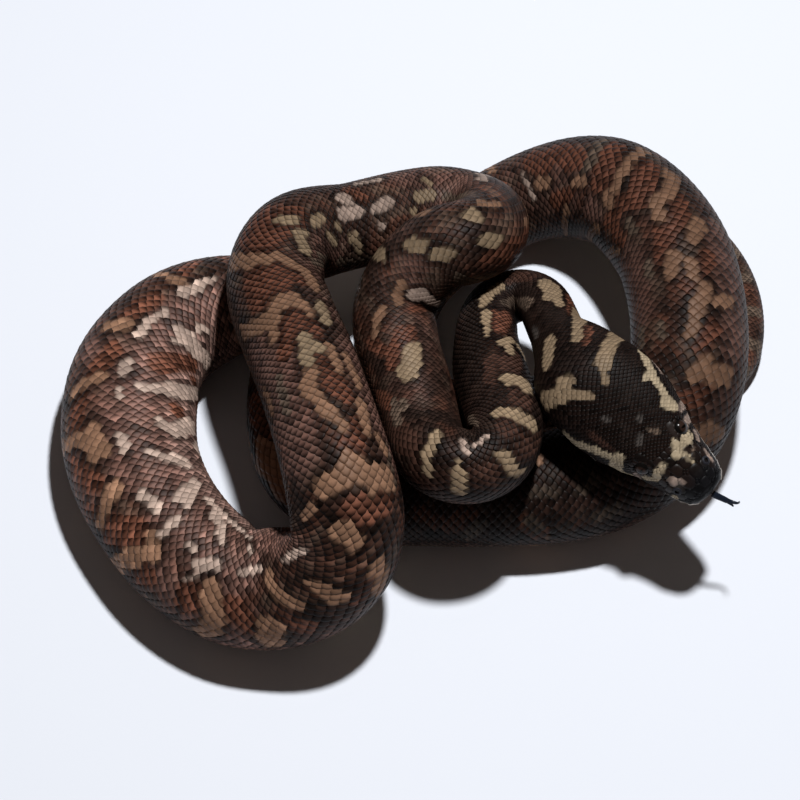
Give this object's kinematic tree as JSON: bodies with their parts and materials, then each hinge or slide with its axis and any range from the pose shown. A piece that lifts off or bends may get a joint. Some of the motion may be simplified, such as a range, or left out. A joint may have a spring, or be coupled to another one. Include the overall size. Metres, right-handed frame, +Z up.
{
  "type": "coiled python",
  "caption": "Carpet python resting in a loose knot of coils, with its head laid over the pile and its forked tongue out.",
  "frame": {"origin": "on the floor, under the middle of the coil's box", "axes": "+Z up from the floor; +X along the longer side of the coil, towards the head's end; +Y away from the side that the snout points to"},
  "size_m": [0.2932, 0.2312, 0.0852],
  "materials": {
    "skin_head": "glossy head plates and small dark scales",
    "skin_neck": "small satin scales, near black with cream blotches",
    "skin_fore": "satin scales, dark brown with tan bars",
    "skin_body": "satin scales, brown and rust with ragged tan crossbars",
    "skin_hind": "satin scales, dull brown with rust patches",
    "skin_tail": "small satin scales, dark brown with tan bars",
    "eye": "clear glossy cover over a dark brown iris with an upright slit",
    "tongue": "moist blue black"
  },
  "bodies": {
    "root": {"head": "skin_head", "eye_left": "eye", "eye_right": "eye", "tongue": "tongue", "neck": "skin_neck", "neck_arch": "skin_neck", "throat": "skin_neck", "fore_bend": "skin_fore", "fore_rise": "skin_fore", "fore_turn": "skin_fore", "fore_cross": "skin_fore", "shoulder_bend": "skin_body", "mid_drape": "skin_body", "mid_fall": "skin_body", "mid_near": "skin_body", "mid_left": "skin_body", "mid_far": "skin_body", "under_turn": "skin_hind", "under_run": "skin_hind", "hind_near": "skin_hind", "hind_right": "skin_hind", "hind_climb": "skin_hind", "hind_far": "skin_hind", "hind_back": "skin_hind", "hind_in": "skin_hind", "vent": "skin_tail", "tail_base": "skin_tail", "tail_mid": "skin_tail", "tail_tip": "skin_tail"}
  },
  "joints": []
}
